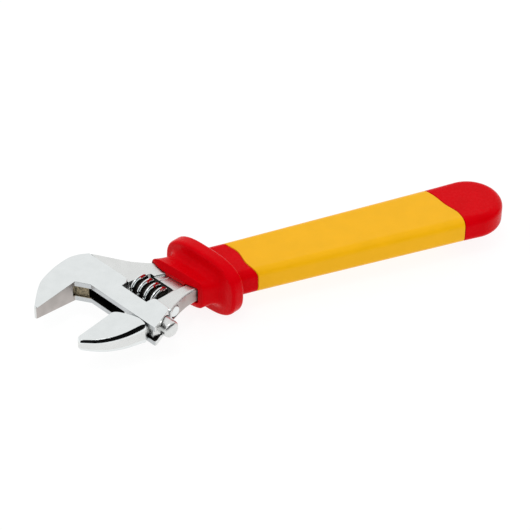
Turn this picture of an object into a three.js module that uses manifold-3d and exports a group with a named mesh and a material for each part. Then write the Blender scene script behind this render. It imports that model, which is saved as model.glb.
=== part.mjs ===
// Insulated adjustable wrench, nominal size 250 mm, millimetres, +Z up.
//
// The handle lies along X with the jaws at +X, and the movable jaw is on the +Y side.
// The head is turned by HEAD_ANGLE against the handle, so its pieces are drawn in a head frame:
// u points along the jaws towards their tips, v is the direction in which the movable jaw opens,
// and the origin is the inner corner of the fixed jaw's gripping face.
// Everything is symmetrical about the plane z = 0 until the whole tool is placed on its origin.

import * as THREE from 'three';
import { mergeVertices } from 'three/addons/utils/BufferGeometryUtils.js';
import Module from 'manifold-3d';

const wasm = await Module();
wasm.setup();

// ---------------------------------------------------------------- driving dimensions

const GAP = 0.3; // clearance between neighbouring pieces

const HEAD_ANGLE = THREE.MathUtils.degToRad(22.5);
const HEAD_X = 234.1; // head frame's origin, measured from the end of the handle
const HEAD_Y = -13.6;
const HEAD_THICKNESS = 12.3;
const JAW_TAPER = THREE.MathUtils.degToRad(5.9); // each flat side of a jaw thins towards its tip
const JAW_REACH = 25.9;
const JAW_OPENING = 31;
const HEAD_FRONT = -4.2; // u of the front edge that the movable jaw's shoulder slides on

const RACK_U = -14; // axis of the round rack and of its bore
const RACK_RADIUS = 4.6;
const RACK_START = 29.5;
const RACK_END = 58;
const RACK_DOME = 2; // height of the dome on the rack's outer end
const WEB_THICKNESS = 5.3; // neck of metal that joins the rack to the movable jaw
const WEB_START = 31.5;
const WEB_END = 52.5;

const WORM_U = -24.8; // axis of the worm and of its pin
const WORM_START = 20.3;
const WORM_END = 36.9;
const WORM_ROOT = 5.3;
const WORM_CREST = 7.7;
const WORM_LEAD = 4.8; // right-handed
const RIDGE_WIDTH = 2.9;
const RIDGE_V = 30.6; // v at which the ridge passes straight above the worm's axis

const WINDOW_REAR = -33.7;
const WINDOW_LOW = 37.2;
const PIN_RADIUS = 2.2;
const PIN_START = 11.5;
const PIN_END = 47.6;
const PIN_HEAD_RADIUS = 3.1;
const PIN_HEAD_START = 44.6;
const SPRING_RADIUS = 3.2;
const SPRING_WIRE = 0.45;

const SHANK_THICKNESS = 9;
const PANEL_DEPTH = 1.5; // depth of the long recess in each side of the shank

const HANDLE_THICKNESS = 14.8;
const HANDLE_EDGE = 4.2; // radius of the handle's long edges
const HANDLE_END_RADIUS = 18.1;
const HANDLE_FRONT = 150; // the handle narrows in a straight line from its end to here
const HANDLE_FRONT_HALF = 15.3;
const OUTER_LAYER = 1.15; // thickness of the outer insulation over the contrast layer
const INNER_LAYER = 1.1; // thickness of the contrast layer over the steel
const CONTRAST_FRONT = 172; // where the contrast layer ends, under the guard

const GUARD_X = 168.6; // middle of the guard's oval flange
const GUARD_Y = -0.4;
const FLANGE_HALF_THICKNESS = 4.1; // along the handle
const FLANGE_HALF_WIDTH = 25.1;
const FLANGE_HALF_HEIGHT = 17;
const FLANGE_ROUNDNESS = 2.85; // exponent of its superellipse, 2 being an ellipse
const COLLAR_LENGTH = 17.6; // from the middle of the flange to the front rim
const COLLAR_HALF_WIDTH = 15.9; // collar in front of the flange, measured across the handle
const COLLAR_HALF_HEIGHT = 8.1;
const COLLAR_SHIFT = 0.7; // of the collar towards the movable jaw's side, from the flange's middle
const COLLAR_ROUNDNESS = 5;
const COLLAR_BEVEL = 2.3; // length of the slope between the collar's outside and its front rim
const COLLAR_RIM = 0.6; // size of the front rim, as a share of the collar's
const COLLAR_FLARE = 0.14; // share by which the collar grows in height towards its front
const COLLAR_SLANT = 0.08; // of the front rim, which lies further forward on the fixed jaw's side

// ---------------------------------------------------------------- solids

// A closed three.js geometry as a manifold solid.
function solidOf(geometry) {
  const bare = geometry.index ? geometry.toNonIndexed() : geometry.clone();
  bare.deleteAttribute('normal');
  bare.deleteAttribute('uv');
  const merged = mergeVertices(bare, 1e-4);
  const corners = [];
  for (let i = 0; i < merged.index.count; i += 3) {
    const [a, b, c] = [0, 1, 2].map((k) => merged.index.getX(i + k));
    if (a !== b && b !== c && c !== a) corners.push(a, b, c);
  }
  return new wasm.Manifold(new wasm.Mesh({
    numProp: 3,
    vertProperties: new Float32Array(merged.attributes.position.array),
    triVerts: new Uint32Array(corners),
  }));
}

// A manifold solid as a three.js geometry.
function geometryOf(solid) {
  const mesh = solid.getMesh();
  const geometry = new THREE.BufferGeometry();
  geometry.setAttribute('position', new THREE.BufferAttribute(new Float32Array(mesh.vertProperties), 3));
  geometry.setIndex(new THREE.BufferAttribute(new Uint32Array(mesh.triVerts), 1));
  geometry.computeVertexNormals();
  return geometry;
}

function outline(points) {
  return new THREE.Shape(points.map(([x, y]) => new THREE.Vector2(x, y)));
}

function vectors(points) {
  return points.map(([x, y]) => new THREE.Vector2(x, y));
}

// A flat plate of the given outline, centred on z = 0.
function plate(shape, thickness, curveSegments = 8) {
  const geometry = new THREE.ExtrudeGeometry(shape, { depth: thickness, bevelEnabled: false, curveSegments });
  return geometry.translate(0, 0, -thickness / 2);
}

// The same with quarter-round edges of the given radius, inside the outline and the thickness.
function roundedPlate(shape, thickness, radius, edgeSegments = 4, curveSegments = 8) {
  const geometry = new THREE.ExtrudeGeometry(shape, {
    depth: thickness - 2 * radius,
    bevelThickness: radius,
    bevelSize: radius,
    bevelOffset: -radius,
    bevelSegments: edgeSegments,
    curveSegments,
  });
  return geometry.translate(0, 0, radius - thickness / 2);
}

function box(low, high) {
  const size = high.map((value, i) => value - low[i]);
  const geometry = new THREE.BoxGeometry(...size);
  return geometry.translate(...low.map((value, i) => value + size[i] / 2));
}

// A rod along v, from v = start to v = end.
function rodAlongV(u, start, end, radius, segments = 32) {
  const geometry = new THREE.CylinderGeometry(radius, radius, end - start, segments);
  return geometry.translate(u, (start + end) / 2, 0);
}

function headMatrix() {
  const matrix = new THREE.Matrix4().makeRotationZ(HEAD_ANGLE);
  return matrix.setPosition(HEAD_X, HEAD_Y, 0);
}

// A geometry drawn in the head frame, carried into the handle's frame.
function fromHead(geometry) {
  return geometry.applyMatrix4(headMatrix());
}

function mirrored(geometry) {
  const turned = geometry.clone().applyMatrix4(new THREE.Matrix4().makeScale(1, 1, -1));
  const index = turned.index ?? null;
  const order = index ? Array.from(index.array) : [...Array(turned.attributes.position.count).keys()];
  for (let i = 0; i < order.length; i += 3) [order[i], order[i + 1]] = [order[i + 1], order[i]];
  turned.setIndex(order);
  return turned;
}

// ---------------------------------------------------------------- head

// Everything above a jaw's tapered upper side, for u > 0, and the same below its lower side.
function taperCuts() {
  const upper = box([0, -60, 0], [60, 90, 20]).rotateY(JAW_TAPER).translate(0, 0, HEAD_THICKNESS / 2);
  return [upper, mirrored(upper)];
}

function headOutline() {
  const shape = new THREE.Shape();
  shape.moveTo(0, 0);
  shape.lineTo(JAW_REACH - 1.2, 0);
  shape.quadraticCurveTo(JAW_REACH + 0.6, 0, 26.1, -1.4);
  shape.splineThru(vectors([[16, -10.3], [7.8, -14.6], [-7.6, -17], [-15, -15.8], [-20.8, -12.2]]));
  shape.lineTo(-20.8, 20);
  shape.lineTo(-17, 22);
  shape.lineTo(-17, 37.4);
  shape.lineTo(-18, 37.5);
  shape.quadraticCurveTo(-20.2, 38, -20.1, 39.9);
  shape.lineTo(-19.7, 47.4);
  shape.quadraticCurveTo(-19.6, 49, -18.2, 49.8);
  shape.lineTo(-5.6, 54.7);
  shape.quadraticCurveTo(HEAD_FRONT, 55.1, HEAD_FRONT, 53.6);
  shape.lineTo(HEAD_FRONT, 7.5);
  return shape;
}

function headSolid() {
  const head = solidOf(plate(headOutline(), HEAD_THICKNESS));
  const tapered = taperCuts().reduce((solid, cut) => solid.subtract(solidOf(cut)), head);
  return solidOf(fromHead(geometryOf(tapered)));
}

// ---------------------------------------------------------------- shank

// Flank of the head that runs down into the handle, on the fixed jaw's side.
// Its two flat sides slope: as thick as the head at the back corner and thinner at the window.
function shoulderSolid(grow) {
  const shape = new THREE.Shape();
  shape.moveTo(214, -20);
  shape.lineTo(218.9, -32.5);
  shape.splineThru(vectors([
    [215, -29.6], [208.6, -24.6], [202.2, -19.8], [195.4, -15.9 - grow], [190, -13.5 - grow],
    [184, -12.7 - grow],
  ]));
  shape.lineTo(174 - grow, -12.7 - grow);
  shape.lineTo(174 - grow, -2);
  shape.lineTo(206, -2);
  const slab = solidOf(plate(shape, HEAD_THICKNESS));
  const slope = new THREE.Plane().setFromCoplanarPoints(
    new THREE.Vector3(219, -35, HEAD_THICKNESS / 2),
    new THREE.Vector3(207.7, -7.3, 3.3),
    new THREE.Vector3(190, -11, 4.8),
  );
  if (slope.normal.z < 0) slope.negate();
  const above = box([-80, -80, grow], [80, 80, 40]);
  above.applyQuaternion(new THREE.Quaternion().setFromUnitVectors(new THREE.Vector3(0, 0, 1), slope.normal));
  above.translate(...slope.projectPoint(new THREE.Vector3(205, -15, 0), new THREE.Vector3()).toArray());
  return slab.subtract(solidOf(above)).subtract(solidOf(mirrored(above)));
}

// Half width of the steel at a distance x from the end of the handle.
function coreHalfWidth(x) {
  return handleHalfWidth(x) - OUTER_LAYER - INNER_LAYER - 2 * GAP;
}

// Flat bar inside the insulation, with the rail that carries the movable jaw's side of the head.
function barSolid(grow) {
  const inset = OUTER_LAYER + INNER_LAYER + 2 * GAP - grow;
  const front = coreHalfWidth(HANDLE_FRONT) + grow;
  const end = HANDLE_END_RADIUS;
  const shape = new THREE.Shape();
  shape.moveTo(206, 0);
  shape.lineTo(181, -3);
  shape.lineTo(177, -11.8 - grow);
  shape.lineTo(HANDLE_FRONT, -front);
  shape.lineTo(end, inset - end);
  shape.absarc(end, 0, end - inset, -Math.PI / 2, Math.PI / 2, true);
  shape.lineTo(HANDLE_FRONT, front);
  shape.lineTo(177, 12.7 + grow);
  shape.quadraticCurveTo(182.5, 14 + grow, 186.3, 16.5 + grow);
  shape.quadraticCurveTo(192.5, 20.6 + grow, 196.5, 24.2 + grow);
  shape.lineTo(204, 20);
  return solidOf(roundedPlate(shape, SHANK_THICKNESS + 2 * grow, 0.9, 1, 8));
}

// Long shallow recess that leaves a rail along each edge of the shank.
function panelOutline(inset) {
  const shape = new THREE.Shape();
  shape.moveTo(196, inset - 5.6);
  shape.lineTo(186, inset - 4.8);
  shape.lineTo(40, inset - 6);
  shape.absarc(40, 0, 6 - inset, -Math.PI / 2, Math.PI / 2, true);
  shape.lineTo(178, 8 - inset);
  shape.quadraticCurveTo(183.6, 8.2 - inset, 187, 9.4 - inset);
  shape.lineTo(200, 13.6 - inset);
  return shape;
}

function panelCuts(inset) {
  const floor = SHANK_THICKNESS / 2 - PANEL_DEPTH + inset;
  const upper = plate(panelOutline(inset), 20).translate(0, 0, floor + 10);
  return [upper, mirrored(upper)].map(solidOf);
}

// Window that the worm sits in, right through the head. Its corner by the fixed jaw is cut off.
function windowSolid() {
  const shape = outline([
    [-15, 19], [-15, WINDOW_LOW], [WINDOW_REAR, WINDOW_LOW],
    [WINDOW_REAR, 20.4], [-22.2, 16.9], [-20.8, 16.6], [-18.4, 18.7],
  ]);
  return solidOf(fromHead(plate(shape, 40)));
}

// The slot's inner end, which the web never reaches, is a shallow groove and not open to the bore.
function slotOutline() {
  const behind = HEAD_FRONT - 1 + GAP;
  return outline([
    [RACK_U, -1.6], [behind, -1.6], [behind, 5.5], [-4.4, 5.5], [-0.5, -1.6],
    [1.3, -1.6], [1.3, 70], [RACK_U, 70],
  ]);
}

// Bore and slot that guide the rack and its web: a keyhole that is open at the front and outer end.
function keyholeSolid() {
  const bore = solidOf(rodAlongV(RACK_U, -2, 70, RACK_RADIUS + GAP));
  const slot = solidOf(plate(slotOutline(), WEB_THICKNESS + 2 * GAP));
  return solidOf(fromHead(geometryOf(bore.add(slot))));
}

// Blind hole for the worm's pin, with a round recess for its head in the outer wall.
function pinHoleSolid() {
  const hole = solidOf(fromHead(rodAlongV(WORM_U, PIN_START - GAP, 60, PIN_RADIUS + GAP, 24)));
  return hole.add(solidOf(fromHead(rodAlongV(WORM_U, PIN_HEAD_START - GAP, 60, PIN_HEAD_RADIUS + GAP, 32))));
}

function bodyGeometry() {
  let body = headSolid().add(shoulderSolid(0)).add(barSolid(0));
  for (const cut of [...panelCuts(0), windowSolid(), keyholeSolid(), pinHoleSolid()]) {
    body = body.subtract(cut);
  }
  return geometryOf(body);
}

// ---------------------------------------------------------------- worm and rack

// Helical ridge about the v axis, made by winding a long box round it. The ridge's outer side is
// rounded over: it rises from the root at both flanks to the crest in the middle.
function ridge(start, end, width, root, crest, stepsPerTurn) {
  const firstTurn = (start - RIDGE_V) / WORM_LEAD;
  const lastTurn = (end - RIDGE_V) / WORM_LEAD;
  const steps = Math.round((lastTurn - firstTurn) * stepsPerTurn);
  const geometry = new THREE.BoxGeometry(1, 1, 1, 4, 1, steps);
  const position = geometry.attributes.position;
  for (let i = 0; i < position.count; i += 1) {
    const across = position.getX(i);
    const rise = (crest - root) * (1 - Math.abs(2 * across) ** 3);
    const radius = position.getY(i) > 0 ? root + rise : root - 0.5;
    const turn = THREE.MathUtils.lerp(firstTurn, lastTurn, position.getZ(i) + 0.5);
    const angle = 2 * Math.PI * turn;
    const along = RIDGE_V + WORM_LEAD * turn + width * across;
    position.setXYZ(i, radius * Math.sin(angle), along, radius * Math.cos(angle));
  }
  return solidOf(geometry);
}

function wormGeometry() {
  const low = WORM_START;
  const high = WORM_END;
  const thread = ridge(low - WORM_LEAD, high + WORM_LEAD, RIDGE_WIDTH, WORM_ROOT, WORM_CREST, 28);
  const core = rodAlongV(0, low, high, WORM_ROOT, 40);
  const ends = rodAlongV(0, low, high, WORM_CREST + 1, 40);
  const bore = rodAlongV(0, low - 1, high + 1, PIN_RADIUS + GAP, 24);
  const springSeat = rodAlongV(0, low - 1, low + 4, SPRING_RADIUS + SPRING_WIRE + GAP, 24);
  const worm = thread.intersect(solidOf(ends)).add(solidOf(core));
  return geometryOf(worm.subtract(solidOf(bore)).subtract(solidOf(springSeat)));
}

// Space that the worm sweeps past the rack, with clearance all round it.
function wormClearance() {
  const low = RACK_START - 2 * WORM_LEAD;
  const high = RACK_END + 2 * WORM_LEAD;
  const thread = ridge(low, high, RIDGE_WIDTH + 2 * GAP, WORM_ROOT + GAP, WORM_CREST + GAP, 56);
  const core = rodAlongV(0, low, high, WORM_ROOT + GAP, 56);
  return thread.add(solidOf(core)).translate([WORM_U, 0, 0]);
}

function pinGeometry() {
  const rod = solidOf(rodAlongV(0, PIN_START, PIN_END - 1, PIN_RADIUS, 24));
  const cap = solidOf(rodAlongV(0, PIN_HEAD_START, PIN_END, PIN_HEAD_RADIUS, 32));
  return geometryOf(rod.add(cap));
}

// Coil spring on the pin, between the window's wall and the seat inside the worm.
function springGeometry() {
  const start = 18.3;
  const end = WORM_START + 4 - SPRING_WIRE - GAP;
  const turns = 4;
  class Coil extends THREE.Curve {
    getPoint(t, target = new THREE.Vector3()) {
      const angle = 2 * Math.PI * turns * t;
      const along = start + (end - start) * t;
      return target.set(SPRING_RADIUS * Math.sin(angle), along, SPRING_RADIUS * Math.cos(angle));
    }
  }
  const section = new THREE.Shape();
  section.absarc(0, 0, SPRING_WIRE, 0, 2 * Math.PI, false);
  return new THREE.ExtrudeGeometry(section, {
    steps: turns * 16, curveSegments: 3, extrudePath: new Coil(),
  });
}

// ---------------------------------------------------------------- movable jaw

function movableJawOutline() {
  const face = JAW_OPENING;
  const shape = new THREE.Shape();
  shape.moveTo(2.8, face);
  shape.lineTo(JAW_REACH - 1.2, face);
  shape.quadraticCurveTo(JAW_REACH + 1, face, 26.6, face + 2.9);
  shape.splineThru(vectors([[20.9, 40.5], [14.8, 44.9], [8.7, 47.7], [1.5, 49.4], [HEAD_FRONT + GAP, 49.9]]));
  shape.lineTo(HEAD_FRONT + GAP, 44.6);
  shape.quadraticCurveTo(-3.4, 41, -1.2, 36.4);
  shape.quadraticCurveTo(0.8, 31.6, 2.8, face);
  return shape;
}

// Round bar that carries the teeth. Its outer end is slightly domed.
function rackSolid() {
  const profile = new THREE.Path();
  profile.moveTo(0, RACK_START);
  profile.lineTo(RACK_RADIUS - 0.4, RACK_START);
  profile.lineTo(RACK_RADIUS, RACK_START + 0.4);
  profile.lineTo(RACK_RADIUS, RACK_END - RACK_DOME);
  profile.quadraticCurveTo(RACK_RADIUS - 0.2, RACK_END, 0, RACK_END);
  return solidOf(new THREE.LatheGeometry(profile.getPoints(5), 48).translate(RACK_U, 0, 0));
}

function movableJawGeometry() {
  const jaw = solidOf(plate(movableJawOutline(), HEAD_THICKNESS));
  const tapered = taperCuts().reduce((solid, cut) => solid.subtract(solidOf(cut)), jaw);
  const half = WEB_THICKNESS / 2;
  const web = solidOf(box([RACK_U, 36.5, -half], [-0.5, 48, half]));
  const foot = solidOf(box([RACK_U, WEB_START, -half], [HEAD_FRONT - 1, WEB_END, half]));
  const toothed = rackSolid().add(foot).subtract(wormClearance());
  return geometryOf(tapered.add(web).add(toothed));
}

// ---------------------------------------------------------------- insulation

function handleHalfWidth(x) {
  const t = (x - HANDLE_END_RADIUS) / (HANDLE_FRONT - HANDLE_END_RADIUS);
  return THREE.MathUtils.lerp(HANDLE_END_RADIUS, HANDLE_FRONT_HALF, THREE.MathUtils.clamp(t, 0, 1));
}

// Handle shape up to x = front, reduced all round by an inset.
function handleGeometry(inset, front, edgeSegments = 4) {
  const half = HANDLE_FRONT_HALF - inset;
  const end = HANDLE_END_RADIUS;
  const shape = new THREE.Shape();
  shape.moveTo(front, -half);
  shape.lineTo(HANDLE_FRONT, -half);
  shape.lineTo(end, inset - end);
  shape.absarc(end, 0, end - inset, -Math.PI / 2, Math.PI / 2, true);
  shape.lineTo(HANDLE_FRONT, half);
  shape.lineTo(front, half);
  return roundedPlate(shape, HANDLE_THICKNESS - 2 * inset, HANDLE_EDGE - inset, edgeSegments, 9);
}

// S-shaped line where two colours of insulation meet, from the -Y edge to the +Y edge.
const FRONT_SEAM = [
  [153.2, -22], [152.9, -13.5], [149, -4], [148.6, 6], [146.8, 12.5], [145.2, 15.6], [144.8, 22],
];
const END_SEAM = [[36.8, -24], [36.4, -16], [33.8, -8.7], [31.8, 0], [28.8, 8], [28.4, 14], [28.9, 24]];

// Everything on the end's side of a seam, shifted along the handle by the given amount.
function behindSeam(seam, shift) {
  const [first, ...rest] = seam.map(([x, y]) => [x + shift, y]);
  const shape = new THREE.Shape();
  shape.moveTo(-20, first[1]);
  shape.lineTo(...first);
  shape.splineThru(vectors(rest));
  shape.lineTo(-20, rest.at(-1)[1]);
  return solidOf(plate(shape, 60, 2));
}

// Space inside the outer insulation: the contrast layer, and the bare steel in front of it.
function outerCavity() {
  const layer = solidOf(handleGeometry(OUTER_LAYER, CONTRAST_FRONT + GAP, 2));
  return layer.add(barSolid(GAP)).add(shoulderSolid(GAP));
}

function contrastLayerGeometry() {
  const outer = solidOf(handleGeometry(OUTER_LAYER + GAP, CONTRAST_FRONT, 2));
  const [upperPanel, lowerPanel] = panelCuts(GAP);
  const steel = barSolid(GAP).subtract(upperPanel).subtract(lowerPanel);
  return geometryOf(outer.subtract(steel));
}

function gripGeometry() {
  const handle = solidOf(handleGeometry(0, 160));
  const stretch = behindSeam(FRONT_SEAM, -GAP / 2).subtract(behindSeam(END_SEAM, GAP / 2));
  return geometryOf(handle.intersect(stretch).subtract(outerCavity()));
}

function endCapGeometry() {
  const handle = solidOf(handleGeometry(0, 160));
  return geometryOf(handle.intersect(behindSeam(END_SEAM, -GAP / 2)).subtract(outerCavity()));
}

// Point of a superellipse at an angle.
function oval(angle, halfWidth, halfHeight, roundness) {
  const power = 2 / roundness;
  const c = Math.round(Math.cos(angle) * 1e9) / 1e9;
  const s = Math.round(Math.sin(angle) * 1e9) / 1e9;
  return [halfWidth * Math.sign(c) * Math.abs(c) ** power, halfHeight * Math.sign(s) * Math.abs(s) ** power];
}

// Share of the way from the flange to the collar's bevel.
function collarShare(along) {
  const start = FLANGE_HALF_THICKNESS + 3;
  const end = COLLAR_LENGTH - COLLAR_BEVEL;
  return THREE.MathUtils.clamp((along - start) / (end - start), 0, 1);
}

// Collar and oval flange in one. The turned profile's radius is a measure of size, not a length:
// 1 is the collar's section and 2 is the flange's, and the section between is a blend of the two.
// Its height is the distance along the handle from the middle of the flange.
function collarAndFlange() {
  const face = FLANGE_HALF_THICKNESS;
  const profile = new THREE.Path();
  profile.moveTo(0, COLLAR_LENGTH);
  profile.lineTo(COLLAR_RIM, COLLAR_LENGTH);
  profile.lineTo(0.97, COLLAR_LENGTH - COLLAR_BEVEL + 0.2);
  profile.quadraticCurveTo(1, COLLAR_LENGTH - COLLAR_BEVEL, 1, COLLAR_LENGTH - COLLAR_BEVEL - 0.4);
  profile.quadraticCurveTo(1, face + 7, 1, face + 5);
  profile.bezierCurveTo(1, face + 2, 1.14, face + 0.3, 1.45, face);
  profile.lineTo(1.78, face);
  profile.quadraticCurveTo(2, face, 2, face - 2.3);
  profile.lineTo(2, 2.3 - face);
  profile.quadraticCurveTo(2, -face, 1.78, -face);
  profile.lineTo(0, -face);
  const points = profile.getPoints(5);
  const geometry = new THREE.LatheGeometry(points, 48);
  const position = geometry.attributes.position;
  const c = Math.cos(HEAD_ANGLE);
  const s = Math.sin(HEAD_ANGLE);
  for (let i = 0; i < position.count; i += 1) {
    const x = position.getX(i);
    const z = position.getZ(i);
    const size = Math.hypot(x, z);
    const angle = Math.atan2(z, x);
    const collar = oval(angle, COLLAR_HALF_WIDTH / c, COLLAR_HALF_HEIGHT, COLLAR_ROUNDNESS);
    const flange = oval(angle, FLANGE_HALF_WIDTH, FLANGE_HALF_HEIGHT, FLANGE_ROUNDNESS);
    const blend = Math.max(size - 1, 0);
    const scale = Math.min(size, 1);
    const across = scale * THREE.MathUtils.lerp(collar[0], flange[0], blend);
    const along = position.getY(i);
    const share = collarShare(along);
    const flared = collar[1] * (1 + COLLAR_FLARE * share ** 2);
    const up = scale * THREE.MathUtils.lerp(flared, flange[1], blend);
    // The collar runs straight along the handle, and the flange is thickened square to its own plane.
    const square = blend * along * c;
    const straight = (1 - blend) * along - COLLAR_SLANT * share * across;
    const shift = COLLAR_SHIFT * scale * (1 - blend);
    const x2 = GUARD_X + straight + square * c - s * across;
    const y2 = GUARD_Y + shift + square * s + c * across;
    position.setXYZ(i, x2, y2, up);
  }
  return geometry;
}

function guardGeometry() {
  const flangePlane = new THREE.Matrix4().makeRotationZ(HEAD_ANGLE).setPosition(GUARD_X, GUARD_Y, 0);
  const ahead = solidOf(box([0, -60, -40], [80, 60, 40]).applyMatrix4(flangePlane));
  const rear = solidOf(handleGeometry(0, 190)).subtract(behindSeam(FRONT_SEAM, GAP / 2)).subtract(ahead);
  return geometryOf(rear.add(solidOf(collarAndFlange())).subtract(outerCavity()));
}

// ---------------------------------------------------------------- materials and assembly

function chrome(color, roughness) {
  return new THREE.MeshStandardMaterial({ color, metalness: 1, roughness });
}

function moulding(color, roughness) {
  return new THREE.MeshStandardMaterial({ color, metalness: 0, roughness });
}

function piece(name, geometry, material) {
  const mesh = new THREE.Mesh(geometry, material);
  mesh.name = name;
  return mesh;
}

const head = new THREE.Group();
head.position.set(HEAD_X, HEAD_Y, 0);
head.rotation.z = HEAD_ANGLE;
head.add(piece('movable_jaw', movableJawGeometry(), chrome(0xd9dcdd, 0.16)));

const adjuster = new THREE.Group();
adjuster.position.x = WORM_U;
adjuster.add(piece('worm', wormGeometry(), chrome(0xcfd4d6, 0.14)));
adjuster.add(piece('worm_pin', pinGeometry(), chrome(0xc4c8ca, 0.2)));
adjuster.add(piece('worm_spring', springGeometry(), chrome(0xb9bdc0, 0.25)));
head.add(adjuster);

const wrench = new THREE.Group();
wrench.add(piece('body', bodyGeometry(), chrome(0xdadddd, 0.18)));
wrench.add(head);
wrench.add(piece('contrast_layer', contrastLayerGeometry(), moulding(0xc80f1e, 0.5)));
wrench.add(piece('front_guard', guardGeometry(), moulding(0xdc0019, 0.35)));
wrench.add(piece('grip_sleeve', gripGeometry(), moulding(0xf5b324, 0.45)));
wrench.add(piece('end_cap', endCapGeometry(), moulding(0xd80010, 0.35)));

// The tool's origin is the middle of its base: it lies flat, resting on the flange.
const tool = new THREE.Group();
tool.add(wrench);
const extent = new THREE.Box3().setFromObject(tool, true);
const middle = extent.getCenter(new THREE.Vector3());
wrench.position.set(-middle.x, -middle.y, -extent.min.z);

export default tool;
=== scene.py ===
"""Looks of the insulated adjustable wrench: fine surfaces, materials, studio and camera.

All lengths are millimetres until they become mesh points, which are metres in the part's frame.
Two local frames are used. The handle frame starts at the end of the handle and runs along it
(x), across it towards the movable jaw (y) and up from its mid plane (z). The head frame is
turned by HEAD_ANGLE: u runs along the jaws, v is the direction in which the movable jaw opens.
The studio's floor and lamps are given in metres in the part's frame.
"""

import math

import bmesh
import bpy
from mathutils import Matrix, Vector


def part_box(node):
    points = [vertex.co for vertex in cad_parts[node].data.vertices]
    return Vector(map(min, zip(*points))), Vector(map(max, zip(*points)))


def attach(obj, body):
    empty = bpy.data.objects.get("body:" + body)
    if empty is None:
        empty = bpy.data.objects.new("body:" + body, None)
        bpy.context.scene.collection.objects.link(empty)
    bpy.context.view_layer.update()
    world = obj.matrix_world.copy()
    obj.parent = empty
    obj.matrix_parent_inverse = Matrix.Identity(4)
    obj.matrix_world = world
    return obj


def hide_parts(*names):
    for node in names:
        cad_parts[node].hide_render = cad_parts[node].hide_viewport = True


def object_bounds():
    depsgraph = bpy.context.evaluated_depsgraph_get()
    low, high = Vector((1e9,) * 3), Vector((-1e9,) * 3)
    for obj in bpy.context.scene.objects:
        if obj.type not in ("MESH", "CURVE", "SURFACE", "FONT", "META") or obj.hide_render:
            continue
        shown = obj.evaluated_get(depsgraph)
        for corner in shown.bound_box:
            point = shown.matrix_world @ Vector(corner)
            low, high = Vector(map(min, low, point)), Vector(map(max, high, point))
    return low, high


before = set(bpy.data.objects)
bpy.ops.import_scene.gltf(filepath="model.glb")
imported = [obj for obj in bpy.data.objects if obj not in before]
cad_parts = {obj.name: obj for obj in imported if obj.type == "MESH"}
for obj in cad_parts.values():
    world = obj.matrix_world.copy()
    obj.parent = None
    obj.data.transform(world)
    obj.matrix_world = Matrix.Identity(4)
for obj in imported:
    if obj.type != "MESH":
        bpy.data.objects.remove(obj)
cad_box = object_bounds()

# ---------------------------------------------------------------- sizes

MM = 0.001

HEAD_ANGLE = math.radians(22.5)
HEAD_CORNER = (234.1, -13.6, 0.0)  # inner corner of the fixed jaw's face, in the handle frame

HANDLE_THICKNESS = 14.8
HANDLE_EDGE = 4.2
HANDLE_END_RADIUS = 18.1
HANDLE_FRONT = 150.0
HANDLE_FRONT_HALF = 15.3
OUTER_LAYER = 1.15
SEAM_GAP = 0.3
SEAM_ROUND = 0.3
FRONT_SEAM = (
    (153.2, -22), (152.9, -13.5), (149, -4), (148.6, 6), (146.8, 12.5), (145.2, 15.6), (144.8, 22),
)
END_SEAM = ((36.8, -24), (36.4, -16), (33.8, -8.7), (31.8, 0), (28.8, 8), (28.4, 14), (28.9, 24))

GUARD_X = 168.6
GUARD_Y = -0.4
FLANGE_HALF_THICKNESS = 4.1
FLANGE_HALF_WIDTH = 25.1
FLANGE_HALF_HEIGHT = 17.0
FLANGE_ROUNDNESS = 2.85
FLANGE_EDGE = 1.78  # size at which the flange's faces start to round over to its rim
FLANGE_ROUND = 2.3  # half of the rim's rounding, along the handle
FILLET_LENGTH = 5.0  # stretch of collar that widens into the flange
COLLAR_LENGTH = 17.6
COLLAR_HALF_WIDTH = 15.9
COLLAR_HALF_HEIGHT = 8.1
COLLAR_SHIFT = 0.7  # towards the movable jaw
COLLAR_ROUNDNESS = 5.0
COLLAR_BEVEL = 2.3
COLLAR_EDGE = 0.96  # size at which the bevel rounds over to the collar's side
COLLAR_RIM = 0.6  # size at which the front face meets the bevel
COLLAR_FLARE = 0.14  # share by which the collar grows in height towards its front
COLLAR_SLANT = 0.08  # lean of the collar's front, per mm across

CAMERA_ELEVATION = math.radians(38.67)
CAMERA_TURN = math.radians(23.06)
CAMERA_ROLL = math.radians(-0.65)
CAMERA_DISTANCE = 1201.5
CAMERA_LENS = 157.4
CAMERA_SENSOR = 36
CAMERA_AIM = (134.77, -1.01, -3.62)  # handle frame

cap_low, cap_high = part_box("end_cap")
HANDLE_ORIGIN = Vector((cap_low.x, (cap_low.y + cap_high.y) / 2, (cap_low.z + cap_high.z) / 2))


# ---------------------------------------------------------------- frames

def from_handle(point):
    """A point of the handle frame, in mm, as a point of the part's frame, in metres."""
    return HANDLE_ORIGIN + Vector(point) * MM


def from_head(u, v, z=0.0):
    """A point of the head frame, in mm, as a point of the part's frame, in metres."""
    c, s = math.cos(HEAD_ANGLE), math.sin(HEAD_ANGLE)
    x = HEAD_CORNER[0] + u * c - v * s
    y = HEAD_CORNER[1] + u * s + v * c
    return from_handle((x, y, z))


def to_head(point):
    """(u, v, z) in mm, in the head frame, of a point of the part's frame."""
    p = (Vector(point) - HANDLE_ORIGIN) / MM - Vector(HEAD_CORNER)
    c, s = math.cos(HEAD_ANGLE), math.sin(HEAD_ANGLE)
    return Vector((p.x * c + p.y * s, p.y * c - p.x * s, p.z))


def to_handle(point):
    """(x, y, z) in mm, in the handle frame, of a point of the part's frame."""
    return (Vector(point) - HANDLE_ORIGIN) / MM


# ---------------------------------------------------------------- mesh helpers

def new_object(name, data):
    """An object of the mesh, lamp or camera, in the scene."""
    made = bpy.data.objects.new(name, data)
    bpy.context.scene.collection.objects.link(made)
    return made


def from_bmesh(name, grid):
    """An object of the grid, which is used up."""
    mesh = bpy.data.meshes.new(name)
    grid.to_mesh(mesh)
    grid.free()
    return new_object(name, mesh)


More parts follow.
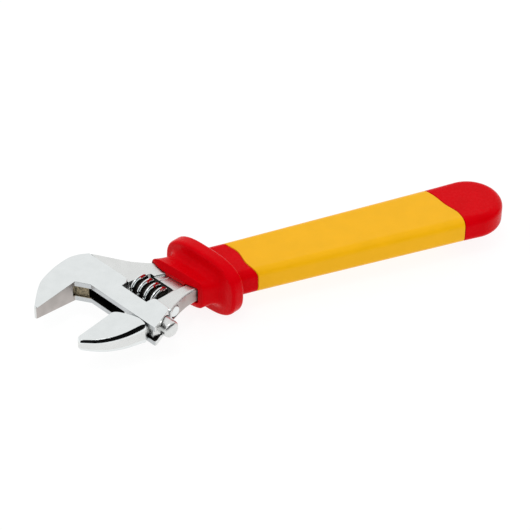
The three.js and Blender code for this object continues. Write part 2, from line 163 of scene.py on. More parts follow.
def bridge(grid, rings, flip=False):
    """Faces between each ring of points and the next."""
    for one, two in zip(rings, rings[1:]):
        count = len(one)
        for i in range(count):
            j = (i + 1) % count
            corners = [one[i], one[j], two[j], two[i]]
            grid.faces.new(corners[::-1] if flip else corners)


def close_rings(grid, rings):
    """Faces between the rings, and one over each end."""
    bridge(grid, rings)
    grid.faces.new(rings[0])
    grid.faces.new(rings[-1])


def solid(name, grid):
    """The object of a closed grid, with all its faces turned outwards."""
    bmesh.ops.recalc_face_normals(grid, faces=grid.faces)
    return from_bmesh(name, grid)


def apply_modifiers(piece):
    """Makes the piece's modifiers part of its mesh."""
    graph = bpy.context.evaluated_depsgraph_get()
    mesh = bpy.data.meshes.new_from_object(piece.evaluated_get(graph), depsgraph=graph)
    piece.modifiers.clear()
    piece.data = mesh


def combine(piece, other, operation):
    """Joins or cuts the piece with the other, which is used up."""
    cut = piece.modifiers.new("cut", "BOOLEAN")
    cut.operation = operation
    cut.solver = "EXACT"
    cut.object = other
    apply_modifiers(piece)
    bpy.data.objects.remove(other)


def shade(piece, angle=math.radians(30)):
    """Smooth shading up to the angle between faces, with large faces ruling the shading."""
    grid = bmesh.new()
    grid.from_mesh(piece.data)
    for face in grid.faces:
        face.smooth = True
    for edge in grid.edges:
        edge.smooth = len(edge.link_faces) == 2 and edge.calc_face_angle() < angle
    grid.to_mesh(piece.data)
    grid.free()
    weighted = piece.modifiers.new("weighted", "WEIGHTED_NORMAL")
    weighted.keep_sharp = True
    weighted.mode = "FACE_AREA"
    weighted.weight = 100
    apply_modifiers(piece)


# ---------------------------------------------------------------- copies of steel nodes

def joined_flats(node, close=0.05):
    """A working copy of a CAD node in which triangles of one flat are a single face."""
    grid = bmesh.new()
    grid.from_mesh(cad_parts[node].data)
    bmesh.ops.remove_doubles(grid, verts=grid.verts, dist=1e-6)
    bmesh.ops.dissolve_limit(grid, angle_limit=math.radians(0.4), verts=grid.verts, edges=grid.edges)
    bmesh.ops.dissolve_degenerate(grid, edges=grid.edges, dist=close * MM)
    return grid


def rounded_copy(node, width):
    """A copy of a CAD node with its sharp edges rounded."""
    grid = joined_flats(node)
    sharp = [
        e for e in grid.edges
        if len(e.link_faces) == 2 and e.calc_face_angle() > math.radians(28)
    ]
    bmesh.ops.bevel(
        grid, geom=sharp, offset=width * MM, offset_type="OFFSET", segments=3,
        profile=0.5, affect="EDGES", clamp_overlap=False, loop_slide=True,
    )
    piece = from_bmesh(node + "_surface", grid)
    shade(piece)
    return piece


# ---------------------------------------------------------------- curves

def smooth_through(points, steps):
    """Points of a smooth curve through the given ones, after the first."""
    made = []
    for i in range(len(points) - 1):
        before = points[max(i - 1, 0)]
        one, two = points[i], points[i + 1]
        after = points[min(i + 2, len(points) - 1)]
        for k in range(1, steps + 1):
            t = k / steps
            made.append(tuple(
                b + 0.5 * t * ((c - a) + t * ((2 * a - 5 * b + 4 * c - d) + t * (3 * (b - c) + d - a)))
                for a, b, c, d in zip(before, one, two, after)
            ))
    return made


def bezier(points, steps):
    """Points of a quadratic or cubic curve with the given control points, after the first."""
    made = []
    degree = len(points) - 1
    for i in range(1, steps + 1):
        t = i / steps
        weights = [math.comb(degree, k) * (1 - t) ** (degree - k) * t**k for k in range(degree + 1)]
        made.append(tuple(sum(w * x for w, x in zip(weights, axis)) for axis in zip(*points)))
    return made


# ---------------------------------------------------------------- worm

WORM_U = -24.8
WORM_START = 20.3
WORM_END = 36.9
WORM_ROOT = 5.3
WORM_CREST = 7.7
WORM_LEAD = 4.8
RIDGE_WIDTH = 2.45
RIDGE_ROUNDNESS = 2.4  # exponent of the ridge's section, 2 being a parabola
RIDGE_FOOT = 0.6  # depth of the ridge's foot inside the worm's root
RIDGE_V = 30.6  # v at which the ridge passes straight above the worm's axis
OVERRUN = 0.7  # turns that the ridge is made too long by at each end
STEPS_PER_TURN = 72
STEPS_ACROSS = 16
BORE_RADIUS = 2.5
SPRING_SEAT = (3.95, 4.0)  # radius and depth
CHAMFER = 0.9


def around_worm(radius, angle, v):
    """Point at a radius from the worm's axis. The angle is 0 straight above it."""
    return from_head(WORM_U + radius * math.sin(angle), v, radius * math.cos(angle))


def turned(name, profile, segments=96):
    """Solid turned about the worm's axis. The profile is (radius, v) points between two ends."""
    grid = bmesh.new()
    rings = []
    for radius, v in profile:
        angles = [2 * math.pi * i / segments for i in range(segments)]
        rings.append([grid.verts.new(around_worm(radius, a, v)) for a in angles])
    close_rings(grid, rings)
    return solid(name, grid)


def thread():
    """Helical ridge with a rounded back, longer than the worm, to be cut to length."""
    grid = bmesh.new()
    first = (WORM_START - RIDGE_V) / WORM_LEAD - OVERRUN
    last = (WORM_END - RIDGE_V) / WORM_LEAD + OVERRUN
    steps = round((last - first) * STEPS_PER_TURN)
    rings = []
    for i in range(steps + 1):
        turn = first + (last - first) * i / steps
        ring = []
        for k in range(STEPS_ACROSS + 1):
            across = -0.5 + k / STEPS_ACROSS
            rise = (WORM_CREST - WORM_ROOT) * (1 - abs(2 * across) ** RIDGE_ROUNDNESS)
            v = RIDGE_V + WORM_LEAD * turn + RIDGE_WIDTH * across
            ring.append(grid.verts.new(around_worm(WORM_ROOT + rise, 2 * math.pi * turn, v)))
        for across in (0.5, -0.5):
            v = RIDGE_V + WORM_LEAD * turn + RIDGE_WIDTH * across
            ring.append(grid.verts.new(around_worm(WORM_ROOT - RIDGE_FOOT, 2 * math.pi * turn, v)))
        rings.append(ring)
    close_rings(grid, rings)
    return solid("thread", grid)


def worm_mesh():
    """The worm with its ridge, its bore and the spring's seat. Its ends are chamfered."""
    worm = turned("worm_screw", [(WORM_ROOT, WORM_START), (WORM_ROOT, WORM_END)])
    ridge = thread()
    outside = WORM_CREST + 0.4
    limit = turned("limit", [
        (outside - CHAMFER, WORM_START), (outside, WORM_START + CHAMFER),
        (outside, WORM_END - CHAMFER), (outside - CHAMFER, WORM_END),
    ])
    combine(ridge, limit, "INTERSECT")
    combine(worm, ridge, "UNION")
    seat_radius, seat_depth = SPRING_SEAT
    bore = turned("bore", [
        (seat_radius, WORM_START - 1), (seat_radius, WORM_START + seat_depth),
        (BORE_RADIUS, WORM_START + seat_depth), (BORE_RADIUS, WORM_END + 1),
    ], 48)
    combine(worm, bore, "DIFFERENCE")
    shade(worm, math.radians(35))
    return worm


# ---------------------------------------------------------------- movable jaw

HEAD_THICKNESS = 12.3
JAW_TAPER = math.radians(5.9)
JAW_GRIP = (2.8, 25.9)  # u of the ends of the gripping face
JAW_TIP = 26.6
JAW_OPENING = 31.0
JAW_BACK = -3.9
WEB_HALF = 2.65
WEB_V = (36.5, 48)
RACK_CUT = 0.15  # distance behind the jaw's back at which the rack's web is cut off
SLIGHT = 0.1  # size of the slope where the jaw only has a rounded edge
# Slope between the jaw's flat sides and its outer wall: (depth below the flat, distance outwards),
# to be multiplied by the slope's size.
SLOPE = (
    (0, 0), (0.05, 0.12), (0.12, 0.2), (0.7, 0.55), (1.3, 0.86), (1.9, 1.12), (2.3, 1.22), (2.9, 1.26),
)


def slight(points):
    """Outline points at which the jaw's edge is only slightly rounded."""
    return [(u, v, SLIGHT) for u, v in points]


def jaw_outline():
    """(u, v, size of the slope) round the movable jaw. The slope runs along the outer wall only."""
    face = JAW_OPENING
    inner, outer = JAW_GRIP
    grip = slight([(inner, face), (10, face), (18, face), (outer - 1.2, face)])
    corner = bezier(((outer - 1.2, face), (outer + 1, face), (JAW_TIP, face + 2.9)), 8)
    tip = [(u, v, SLIGHT + 0.7 * (i + 1) / 8) for i, (u, v) in enumerate(corner)]
    wall = smooth_through((
        (JAW_TIP, 33.9, 0.8), (20.9, 40.5, 0.9), (14.8, 44.9, 1), (8.7, 47.8, 1.2),
        (3.5, 49.4, 1.4), (JAW_BACK + 2.6, 50.3, 1.4),
    ), 8)
    back = bezier(((JAW_BACK + 2.6, 50.3, 1.4), (JAW_BACK, 50.5, 0.7), (JAW_BACK, 46.9, 0.3)), 8)
    heel = slight([(JAW_BACK, 44.6)])
    heel += slight(bezier(((JAW_BACK, 44.6), (-3.4, 41), (-1.2, 36.4)), 6))
    heel += slight(bezier(((-1.2, 36.4), (0.8, 31.6), (inner, face)), 6)[:-1])
    return grip + tip + wall + back + heel


def flat_border(size):
    """Distance from the jaw's outline to the edge of its flat side, for a slope of the given size."""
    if size <= 0.3:
        return SLOPE[-1][1] * size
    return 0.35 + 0.5 * size + 1.6 * max(size - 0.9, 0)


def inward(outline, i):
    """Unit vector into the outline at its point i."""
    before, after = outline[i - 1], outline[(i + 1) % len(outline)]
    along = Vector((after[0] - before[0], after[1] - before[1])).normalized()
    return Vector((-along.y, along.x))


def split(grid, u):
    """Cuts faces where they cross the plane at u, so that none is bent there."""
    across = from_head(1, 0) - from_head(0, 0)
    everything = list(grid.verts) + list(grid.edges) + list(grid.faces)
    bmesh.ops.bisect_plane(grid, geom=everything, dist=1e-7, plane_co=from_head(u, 0), plane_no=across)


def jaw_plate():
    """The movable jaw without its web and rack. Its flat sides taper towards the tip from u = 0."""
    grid = bmesh.new()
    outline = jaw_outline()
    levels = [(1, k) for k in range(len(SLOPE))] + [(-1, k) for k in reversed(range(len(SLOPE)))]
    rings = []
    for side, k in levels:
        ring = []
        for i, (u, v, size) in enumerate(outline):
            depth = size * SLOPE[k][0]
            move = inward(outline, i) * (flat_border(size) - size * SLOPE[k][1])
            half = HEAD_THICKNESS / 2 - max(u + move.x, 0) * math.tan(JAW_TAPER)
            ring.append(grid.verts.new(from_head(u + move.x, v + move.y, side * (half - depth))))
        rings.append(ring)
    close_rings(grid, rings)
    split(grid, 0)
    return solid("movable_jaw_surface", grid)


def rack_part():
    """The rack with its teeth and its web, as the CAD node has them, without the jaw itself."""
    grid = joined_flats("movable_jaw", 0.01)
    place = from_head(JAW_BACK - RACK_CUT, 0)
    across = from_head(JAW_BACK + 1, 0) - from_head(JAW_BACK, 0)
    everything = list(grid.verts) + list(grid.edges) + list(grid.faces)
    cut = bmesh.ops.bisect_plane(
        grid, geom=everything, dist=1e-8, plane_co=place, plane_no=across, clear_outer=True,
    )
    rim = [e for e in cut["geom_cut"] if isinstance(e, bmesh.types.BMEdge)]
    bmesh.ops.edgenet_fill(grid, edges=rim)
    return solid("rack", grid)


def head_block(name, low, high):
    """Box along the axes of the head frame."""
    grid = bmesh.new()
    corners = bmesh.ops.create_cube(grid, size=1)["verts"]
    for vertex in corners:
        share = vertex.co + Vector((0.5, 0.5, 0.5))
        vertex.co = from_head(*(a + (b - a) * t for a, b, t in zip(low, high, share)))
    return solid(name, grid)


def jaw_mesh():
    """The movable jaw with its web and rack."""
    jaw = jaw_plate()
    low = (JAW_BACK - 1.5, WEB_V[0], -WEB_HALF)
    high = (-0.5, WEB_V[1], WEB_HALF)
    combine(jaw, head_block("web", low, high), "UNION")
    combine(jaw, rack_part(), "UNION")
    shade(jaw)
    return jaw


# ---------------------------------------------------------------- materials

def material(name):
    """A new material, its node tree and its shader."""
    made = bpy.data.materials.new(name)
    made.use_nodes = True
    return made, made.node_tree, made.node_tree.nodes["Principled BSDF"]


def noise(tree, size, detail=3.0, roughness=0.5, squeeze=(1, 1, 1)):
    """Noise in the object's own coordinates, with features of about the given size in mm.

    Along each axis the features are as many times smaller as squeeze says."""
    place = tree.nodes.new("ShaderNodeTexCoord")
    scale = tree.nodes.new("ShaderNodeMapping")
    scale.inputs["Scale"].default_value = squeeze
    made = tree.nodes.new("ShaderNodeTexNoise")
    made.inputs["Scale"].default_value = 1 / (size * MM)
    made.inputs["Detail"].default_value = detail
    made.inputs["Roughness"].default_value = roughness
    tree.links.new(place.outputs["Object"], scale.inputs["Vector"])
    tree.links.new(scale.outputs["Vector"], made.inputs["Vector"])
    return made.outputs["Fac"]


def ramp(tree, source, stops):
    """Colour ramp over the source, with (position, color) stops."""
    made = tree.nodes.new("ShaderNodeValToRGB")
    elements = made.color_ramp.elements
    while len(elements) < len(stops):
        elements.new(0.5)
    for element, (position, color) in zip(elements, stops):
        element.position = position
        element.color = (*color, 1)
    tree.links.new(source, made.inputs["Fac"])
    return made.outputs["Color"]


def span(tree, source, low, high, start=0.3, stop=0.7):
    """The source, from start to stop, carried to low to high."""
    made = tree.nodes.new("ShaderNodeMapRange")
    made.inputs["From Min"].default_value = start
    made.inputs["From Max"].default_value = stop
    made.inputs["To Min"].default_value = low
    made.inputs["To Max"].default_value = high
    tree.links.new(source, made.inputs["Value"])
    return made.outputs["Result"]


def bump(tree, shader, source, height):
    """Surface relief of the given height in mm."""
    made = tree.nodes.new("ShaderNodeBump")
    made.inputs["Distance"].default_value = height * MM
    tree.links.new(source, made.inputs["Height"])
    tree.links.new(made.outputs["Normal"], shader.inputs["Normal"])


def steel(name, light, dark, rough, grain, height, clouds=6.0, metal=1.0):
    """Bare or plated steel: clouds from dark to light, fine scratches and a surface grain."""
    made, tree, shader = material(name)
    shader.inputs["Metallic"].default_value = metal
    color = ramp(tree, noise(tree, clouds), [(0.3, dark), (0.7, light)])
    tree.links.new(color, shader.inputs["Base Color"])
    scratches = noise(tree, 1.2, 2.0, 0.4, (1, 24, 8))
    both = tree.nodes.new("ShaderNodeMath")
    both.operation = "MULTIPLY"
    tree.links.new(span(tree, noise(tree, 3.0), *rough), both.inputs[0])
    tree.links.new(span(tree, scratches, 0.9, 1.25, 0.55, 0.75), both.inputs[1])
    tree.links.new(both.outputs[0], shader.inputs["Roughness"])
    bump(tree, shader, noise(tree, grain, 4.0), height)
    return made


def plastic(name, light, dark, sheen, ior, rough):
    """Moulded insulation: slight colour variation, a tinted sheen and a fine, soft grain."""
    made, tree, shader = material(name)
    shader.inputs["IOR"].default_value = ior
    shader.inputs["Specular IOR Level"].default_value = 0.32
    shader.inputs["Specular Tint"].default_value = (*sheen, 1)
    color = ramp(tree, noise(tree, 9.0), [(0.3, dark), (0.7, light)])
    tree.links.new(color, shader.inputs["Base Color"])
    tree.links.new(span(tree, noise(tree, 2.0), *rough), shader.inputs["Roughness"])
    bump(tree, shader, noise(tree, 0.5, 3.0), 0.01)
    return made


polished = steel(
    "polished_chrome", light=(0.80, 0.83, 0.83), dark=(0.76, 0.79, 0.79),
    rough=(0.06, 0.10), grain=0.9, height=0.003,
)
satin = steel(
    "satin_chrome", light=(0.75, 0.76, 0.75), dark=(0.71, 0.72, 0.71),
    rough=(0.28, 0.34), grain=0.35, height=0.012,
)
ground = steel(
    "ground_steel", light=(0.56, 0.58, 0.59), dark=(0.50, 0.52, 0.53),
    rough=(0.26, 0.34), grain=0.35, height=0.02,
)
cast = steel(
    "cast_steel", light=(0.52, 0.48, 0.46), dark=(0.42, 0.39, 0.37),
    rough=(0.34, 0.44), grain=0.4, height=0.04,
)
# Nearly black steel: painted shade inside the slot, the rack's bore, the window and between the worm's
# ridges.
shade_steel = steel(
    "painted_shade_steel", light=(0.03, 0.026, 0.022), dark=(0.012, 0.011, 0.010),
    rough=(0.40, 0.60), grain=0.8, height=0.08,
)
bronzed = steel(
    "bronzed_steel", light=(0.52, 0.43, 0.27), dark=(0.08, 0.07, 0.05),
    rough=(0.40, 0.60), grain=0.3, height=0.15, clouds=0.9, metal=0.5,
)
red = plastic(
    "red_insulation", light=(0.68, 0.0, 0.004), dark=(0.63, 0.0, 0.003),
    sheen=(1, 0.14, 0.17), ior=1.2, rough=(0.22, 0.32),
)
yellow = plastic(
    "yellow_insulation", light=(0.93, 0.47, 0.005), dark=(0.89, 0.45, 0.004),
    sheen=(1, 0.8, 0.3), ior=1.45, rough=(0.34, 0.44),
)


# ---------------------------------------------------------------- plastic handle

def seam_x(seam, y):
    """x of the seam line at y, smooth between its points."""
    points = sorted(((py, px) for px, py in seam))
    y = min(max(y, points[0][0]), points[-1][0])
    i = next(k for k in range(len(points) - 1) if y <= points[k + 1][0])
    (y0, x0), (y1, x1) = points[i], points[i + 1]
    before = points[max(i - 1, 0)]
    after = points[min(i + 2, len(points) - 1)]
    t = (y - y0) / (y1 - y0)
    m0 = (x1 - before[1]) / (y1 - before[0]) * (y1 - y0)
    m1 = (after[1] - x0) / (after[0] - y0) * (y1 - y0)
    a = 2 * t**3 - 3 * t**2 + 1
    b = t**3 - 2 * t**2 + t
    return a * x0 + b * m0 + (1 - a) * x1 + (t**3 - t**2) * m1


def half_width(x):
    """Half of the handle's width at x."""
    t = (x - HANDLE_END_RADIUS) / (HANDLE_FRONT - HANDLE_END_RADIUS)
    return HANDLE_END_RADIUS + (HANDLE_FRONT_HALF - HANDLE_END_RADIUS) * min(max(t, 0), 1)


def half_section(half, inset):
    """Right half of the handle's section, from the middle of its top to the middle of its base."""
    across, arc, upright = 12, 10, 4
    r = HANDLE_EDGE - inset
    h = HANDLE_THICKNESS / 2 - inset
    w = half - inset
    quarter = [math.pi / 2 * i / arc for i in range(arc + 1)]
    top = [((w - r) * i / across, h) for i in range(across)]
    corner = [(w - r + r * math.sin(a), h - r + r * math.cos(a)) for a in quarter]
    side = [(w, (h - r) * (1 - 2 * i / upright)) for i in range(1, upright)]
    lower = [(y, -z) for y, z in reversed(top + corner)]
    return top + corner + side + lower


def full_section(half, inset):
    """The handle's whole section, all the way round."""
    right = half_section(half, inset)
    left = [(-y, z) for y, z in reversed(right[1:-1])]
    return right + left


def seam_ring(grid, seam, inset, shift):
    """Points of the handle's section, each on the seam line shifted along the handle."""
    ring = []
    for y, z in full_section(HANDLE_FRONT_HALF, inset):
        x = seam_x(seam, y) + shift
        scale = (half_width(x) - inset) / (HANDLE_FRONT_HALF - inset)
        wide = y * scale
        x = seam_x(seam, wide) + shift
        ring.append(grid.verts.new(from_handle((x, wide, z))))
    return ring


def straight_ring(grid, first, last, t):
    """Ring of points between two rings."""
    return [grid.verts.new(a.co.lerp(b.co, t)) for a, b in zip(first, last)]


def edge_rings(grid, seam, side):
    """Rings of a rounded edge at a seam, from the inner layer's surface out and along.

    side is +1 where the piece lies on the seam's +x side, and -1 on the other."""
    start = side * SEAM_GAP / 2
    rings = [seam_ring(grid, seam, OUTER_LAYER, start)]
    for i in range(4):
        a = math.pi / 2 * i / 3
        inset = SEAM_ROUND * (1 - math.sin(a))
        shift = SEAM_ROUND * (1 - math.cos(a))
        rings.append(seam_ring(grid, seam, inset, start + side * shift))
    return rings


def grip_mesh():
    """The yellow sleeve: outside, inside and a rounded edge at each seam."""
    grid = bmesh.new()
    rear = edge_rings(grid, END_SEAM, 1)
    front = edge_rings(grid, FRONT_SEAM, -1)
    outer = [straight_ring(grid, rear[-1], front[-1], i / 24) for i in range(1, 24)]
    bridge(grid, rear + outer + front[::-1])
    bridge(grid, [rear[0], front[0]], flip=True)
    return solid("grip_cover", grid)


def round_end(grid, inset):
    """Rows of points over the handle's round end: half sections turned about its centre."""
    rows = []
    steps = 32
    for i in range(steps + 1):
        c, s = math.cos(math.pi * i / steps), math.sin(math.pi * i / steps)
        section = half_section(HANDLE_END_RADIUS, inset)
        places = [(HANDLE_END_RADIUS - y * s, y * c, z) for y, z in section]
        rows.append([grid.verts.new(from_handle(place)) for place in places])
    return rows


def strip(grid, rows):
    """Faces between each row of points and the next."""
    for one, two in zip(rows, rows[1:]):
        for i in range(len(one) - 1):
            grid.faces.new([one[i], one[i + 1], two[i + 1], two[i]])


def cap_mesh():
    """The red end: outside, inside and a rounded edge at the seam."""
    grid = bmesh.new()
    edge = edge_rings(grid, END_SEAM, -1)
    for inset, start in ((0, edge[-1]), (OUTER_LAYER, edge[0])):
        section = [
            grid.verts.new(from_handle((HANDLE_END_RADIUS, y, z)))
            for y, z in full_section(HANDLE_END_RADIUS, inset)
        ]
        between = [straight_ring(grid, start, section, i / 4) for i in range(1, 4)]
        bridge(grid, [start] + between + [section])
        strip(grid, round_end(grid, inset))
    bridge(grid, edge)
    bmesh.ops.remove_doubles(grid, verts=grid.verts, dist=1e-6)
    return solid("end_cap_shell", grid)


# ---------------------------------------------------------------- guard

def oval(angle, half_width, half_height, roundness):
    """Point of a superellipse at an angle."""
    c, s = math.cos(angle), math.sin(angle)
    power = 2 / roundness
    across = half_width * math.copysign(abs(c) ** power, c)
    up = half_height * math.copysign(abs(s) ** power, s)
    return across, up


def guard_profile():
    """(size, along) from the collar's front face to the flange's rear.

    Size 1 is the collar's and 2 the flange's, and along is measured from the flange's middle."""
    face = FLANGE_HALF_THICKNESS
    bevel = COLLAR_LENGTH - COLLAR_BEVEL
    points = [(0.0, COLLAR_LENGTH), (0.4, COLLAR_LENGTH), (COLLAR_RIM, COLLAR_LENGTH)]
    points += [
        (COLLAR_RIM + (COLLAR_EDGE - COLLAR_RIM) * t, COLLAR_LENGTH - (COLLAR_BEVEL - 0.25) * t)
        for t in (0.03, 0.5, 0.97)
    ]
    points += bezier(((COLLAR_EDGE + 0.01, bevel + 0.25), (1, bevel), (1, bevel - 0.35)), 6)
    points += bezier(((1, bevel - 0.35), (1, face + FILLET_LENGTH)), 8)
    points += bezier(((1, face + FILLET_LENGTH), (1, face + 2), (1.14, face + 0.3), (1.45, face)), 12)
    points += [(1.6, face), (FLANGE_EDGE, face)]
    points += bezier(((FLANGE_EDGE, face), (2, face), (2, face - FLANGE_ROUND)), 8)
    points += [(2, 0)]
    points += bezier(((2, FLANGE_ROUND - face), (2, -face), (FLANGE_EDGE, -face)), 8)
    points += [(1.5, -face), (1.2, -face), (0.0, -face)]
    return points


def collar_share(along):
    """Share of the way from the flange to the collar's bevel."""
    start = FLANGE_HALF_THICKNESS + 3
    end = COLLAR_LENGTH - COLLAR_BEVEL
    return min(max((along - start) / (end - start), 0), 1)


def guard_point(size, along, angle):
    """Point of the guard's surface. The flange is square to the head, and the collar to the handle."""
    c, s = math.cos(HEAD_ANGLE), math.sin(HEAD_ANGLE)
    collar = oval(angle, COLLAR_HALF_WIDTH / c, COLLAR_HALF_HEIGHT, COLLAR_ROUNDNESS)
    flange = oval(angle, FLANGE_HALF_WIDTH, FLANGE_HALF_HEIGHT, FLANGE_ROUNDNESS)
    blend = max(size - 1, 0)
    scale = min(size, 1)
    across = scale * (collar[0] + (flange[0] - collar[0]) * blend)
    share = collar_share(along)
    flared = collar[1] * (1 + COLLAR_FLARE * share**2)
    up = scale * (flared + (flange[1] - flared) * blend)
    square = blend * along * c
    straight = (1 - blend) * along - COLLAR_SLANT * share * across
    shift = COLLAR_SHIFT * scale * (1 - blend)
    return from_handle((
        GUARD_X + straight + square * c - s * across,
        GUARD_Y + shift + square * s + c * across,
        up,
    ))


def guard_body():
    """Collar and flange in one."""
    grid = bmesh.new()
    count = 144
    rings = []
    for size, along in guard_profile():
        ring = [grid.verts.new(guard_point(size, along, 2 * math.pi * i / count)) for i in range(count)]
        rings.append(ring)
    bridge(grid, rings)
    bmesh.ops.remove_doubles(grid, verts=grid.verts, dist=1e-6)
    return solid("hand_guard", grid)


def guard_rear():
    """Stretch of handle between the grip and the flange."""
    grid = bmesh.new()
    edge = edge_rings(grid, FRONT_SEAM, 1)
    c, s = math.cos(HEAD_ANGLE), math.sin(HEAD_ANGLE)
    ends = []
    for ring in (edge[-1], edge[0]):
        far = []
        for vertex in ring:
            p = to_handle(vertex.co)
            x = GUARD_X - (p.y - GUARD_Y) * s / c
            far.append(grid.verts.new(from_handle((x, p.y, p.z))))
        ends.append(far)
    between = [straight_ring(grid, edge[-1], ends[0], i / 4) for i in range(1, 4)]
    bridge(grid, edge + between + [ends[0], ends[1], edge[0]])
    return solid("guard_rear", grid)


# Inside of the collar: (x, half width on the -y side, half width on the +y side).
PASSAGE = (
    (150.0, 13.2, 13.2), (174, 13.4, 13.4), (178, 13.4, 13.9), (182, 13.4, 15.2), (186, 13.5, 17.6),
    (192, 15.2, 22.5), (200, 19.5, 29.0),
)
# Its roof between the two ends, as (y, z). It is low over the long recess in the shank.
PASSAGE_ROOF = ((-5, 5.1), (-4.2, 3.4), (6.8, 3.4), (7.6, 5.0))
PASSAGE_LEFT = 5.9  # height of the roof's ends above the mid plane
PASSAGE_RIGHT = 4.2


def steel_passage():
    """Space inside the guard for the steel: deepest on the -y side, shallow over the shank's recess."""
    grid = bmesh.new()
    rings = []
    for x, left, right in PASSAGE:
        roof = [(-left, PASSAGE_LEFT), *PASSAGE_ROOF, (right - 0.8, 5.0), (right, PASSAGE_RIGHT)]
        section = roof + [(y, -z) for y, z in reversed(roof)]
        rings.append([grid.verts.new(from_handle((x, y, z))) for y, z in section])
    close_rings(grid, rings)
    return solid("steel_passage", grid)


# ---------------------------------------------------------------- which steel face has which finish

POLISHED, SATIN, GROUND, CAST, PAINTED_SHADE, BRONZED = range(6)
STEELS = (polished, satin, ground, cast, shade_steel, bronzed)

# Limits in the head frame, each a little outside the surfaces that it picks out.
RACK_U = -14.0
BORE_WALL = 5.3  # distance from the bore's axis
SLOT_WALL = 3.25  # distance from the mid plane
SLOT_FRONT = 1.2
SLOT_START = -2.5
# The slot's inner end is a shallow groove. Its floor is bronze, in front of this u and up to this v.
GROOVE_REAR = -4.8
GROOVE_END = 6.5
WINDOW_U = (-35.4, -14.7)
WINDOW_V = (15.8, 37.6)
STEP_U = -21.3  # where the head's flat sides end
FLAT_Z = 2.9
SIDE_V = 30.0  # the shank's side wall below the movable jaw lies beyond this
RACK_FRONT = -5.0  # the movable jaw's rack lies behind this
WORM_GROOVE = 5.75  # radius below which the worm is painted dark, as painted shade between its ridges


def in_slot(u, v, z):
    """Whether a place on the body is inside its slot or the rack's bore."""
    flat = RACK_U < u < SLOT_FRONT and abs(z) < SLOT_WALL
    return v > SLOT_START and (flat or math.hypot(u - RACK_U, z) < BORE_WALL)


def in_window(u, v):
    """Whether a place on the body is inside the worm's window."""
    return WINDOW_U[0] < u < WINDOW_U[1] and WINDOW_V[0] < v < WINDOW_V[1]


def body_finish(place, normal):
    """Finish of a face of the body: polished flats, satin or cast shank, and painted shade: dark steel
    in the slot and the window.
    """
    u, v, z = place
    outward = normal.y > 0.9
    if outward and u > 0:
        return CAST
    if outward and u > STEP_U and abs(z) > FLAT_Z:
        return SATIN
    # The dark steel in the slot, the rack's bore and on the window's walls is painted shade.
    if in_slot(u, v, z):
        return BRONZED if v < GROOVE_END and u > GROOVE_REAR else PAINTED_SHADE
    if in_window(u, v) and abs(normal.z) < 0.2 and not outward:
        return PAINTED_SHADE
    level = abs(normal.z) > 0.3
    if u > STEP_U and level:
        return POLISHED if abs(z) > FLAT_Z else SATIN
    if STEP_U < u < 0 and normal.x > 0.5:
        return GROUND
    return SATIN if u > STEP_U or level or v < SIDE_V else CAST


def jaw_finish(place, normal):
    """Polished, with satin walls and rack."""
    return SATIN if place.x < RACK_FRONT or abs(normal.z) < 0.2 else POLISHED


def worm_finish(place, normal):
    """Polished ridge, and painted shade in between: dark steel round the root, whichever way the face
    looks.
    """
    return PAINTED_SHADE if math.hypot(place.x - WORM_U, place.z) < WORM_GROOVE else POLISHED


def paint(piece, rule):
    """Gives each face the finish that the rule finds for its middle and normal in the head frame."""
    origin = from_head(0, 0)
    for face in piece.data.polygons:
        place = to_head(face.center)
        normal = to_head(origin + face.normal * MM)
        face.material_index = rule(place, normal)


# ---------------------------------------------------------------- pieces

def finish_piece(piece, body, node, *materials):
    """Gives the piece its materials, and lets it ride on its body in the place of its CAD node."""
    piece.data.materials.clear()
    for each in materials:
        piece.data.materials.append(each)
    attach(piece, body)
    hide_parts(node)


body = rounded_copy("body", 0.3)
finish_piece(body, "handle", "body", *STEELS)
paint(body, body_finish)
jaw = jaw_mesh()
finish_piece(jaw, "jaw", "movable_jaw", *STEELS)
paint(jaw, jaw_finish)
worm = worm_mesh()
finish_piece(worm, "knurl", "worm", *STEELS)
paint(worm, worm_finish)
pin = rounded_copy("worm_pin", 0.25)
finish_piece(pin, "handle", "worm_pin", polished)

grip = grip_mesh()
shade(grip)
finish_piece(grip, "handle", "grip_sleeve", yellow)
cap = cap_mesh()
shade(cap)
finish_piece(cap, "handle", "end_cap", red)
guard = guard_body()
combine(guard, guard_rear(), "UNION")
combine(guard, steel_passage(), "DIFFERENCE")
shade(guard)
finish_piece(guard, "handle", "front_guard", red)

for node, look in (("worm_spring", satin), ("contrast_layer", red)):
    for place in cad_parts[node].material_slots:
        place.material = look


# ---------------------------------------------------------------- studio

FLOOR_REACH = 3.0  # metres
FLOOR_TONE = 0.12
FLOOR_GLOW = 0.89
# The studio's dark side lies behind the camera, 40 degrees to its right.
DARK_TURN = CAMERA_TURN - math.radians(40)
DARK_SIDE = Vector((math.sin(DARK_TURN), math.cos(DARK_TURN), 0))
DARK_LEAN = 0.95  # how far the studio's dark part reaches up on that side
SKY_TONES = ((0.0, 0.004), (0.7, 0.008), (0.92, 0.96), (1.0, 0.96))  # dark to bright


def floor():
    """A pale floor under the tool, which glows a little so that it is as white as the background."""
    grid = bmesh.new()
    corners = [(-1, -1), (1, -1), (1, 1), (-1, 1)]
    places = [(x * FLOOR_REACH, y * FLOOR_REACH, cad_box[0].z) for x, y in corners]
    grid.faces.new([grid.verts.new(place) for place in places])
    made = from_bmesh("floor", grid)
    look, _, shader = material("pale_floor")
    shader.inputs["Base Color"].default_value = (FLOOR_TONE, FLOOR_TONE, FLOOR_TONE, 1)
    shader.inputs["Roughness"].default_value = 0.9
    shader.inputs["Emission Color"].default_value = (1, 1, 1, 1)
    shader.inputs["Emission Strength"].default_value = FLOOR_GLOW
    made.data.materials.append(look)


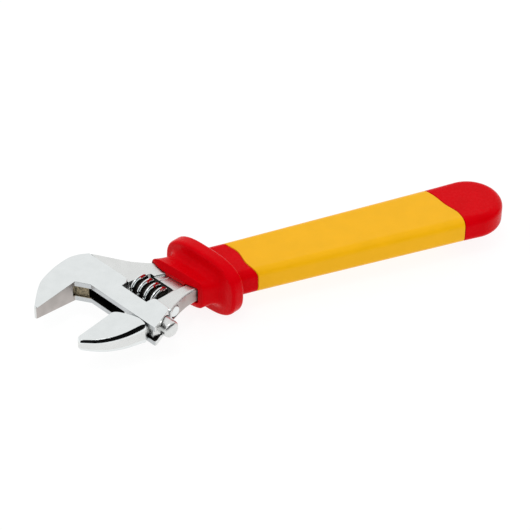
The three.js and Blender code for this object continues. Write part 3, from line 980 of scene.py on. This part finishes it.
def sky():
    """A white studio, bright overhead and beyond the tool, and dark low down on the camera's side."""
    world = bpy.data.worlds.new("studio")
    bpy.context.scene.world = world
    world.use_nodes = True
    tree = world.node_tree
    place = tree.nodes.new("ShaderNodeTexCoord")
    lean = tree.nodes.new("ShaderNodeVectorMath")
    lean.operation = "DOT_PRODUCT"
    lean.inputs[1].default_value = Vector((0, 0, 1)) - DARK_LEAN * DARK_SIDE
    tree.links.new(place.outputs["Generated"], lean.inputs[0])
    lit = span(tree, lean.outputs["Value"], 0, 1, -0.5, 0.1)
    color = ramp(tree, lit, [(position, (tone,) * 3) for position, tone in SKY_TONES])
    tree.links.new(color, tree.nodes["Background"].inputs["Color"])


def lamp(name, position, target, size, power, mirrored=True):
    """A square soft box at the position, facing the target. It may be left out of reflections."""
    data = bpy.data.lights.new(name, "AREA")
    data.shape = "SQUARE"
    data.size = size
    data.energy = power
    made = new_object(name, data)
    made.location = position
    made.rotation_euler = (Vector(position) - Vector(target)).to_track_quat("Z", "Y").to_euler()
    made.visible_glossy = mirrored


def camera():
    """The camera at the photograph's angle, distance and lens."""
    c, s = math.cos(CAMERA_TURN), math.sin(CAMERA_TURN)
    ce, se = math.cos(CAMERA_ELEVATION), math.sin(CAMERA_ELEVATION)
    level = Vector((-c, s, 0))
    away = Vector((-s, -c, 0))
    forward = ce * away - se * Vector((0, 0, 1))
    above = se * away + ce * Vector((0, 0, 1))
    cr, sr = math.cos(CAMERA_ROLL), math.sin(CAMERA_ROLL)
    right = cr * level - sr * above
    up = sr * level + cr * above
    data = bpy.data.cameras.new("camera")
    data.lens = CAMERA_LENS
    data.sensor_width = CAMERA_SENSOR
    made = new_object("camera", data)
    place = Matrix((right, up, -forward)).transposed().to_4x4()
    place.translation = from_handle(CAMERA_AIM) - forward * CAMERA_DISTANCE * MM
    made.matrix_world = place
    bpy.context.scene.camera = made


floor()
sky()
lamp("overhead", (0.3, 0.2, 1.5), (0, 0, 0), 0.4, 3)
lamp("fill", (-0.6, 1.0, 0.3), (0, 0, 0), 0.4, 3.3, mirrored=False)
camera()
bpy.context.scene.view_settings.view_transform = "Standard"
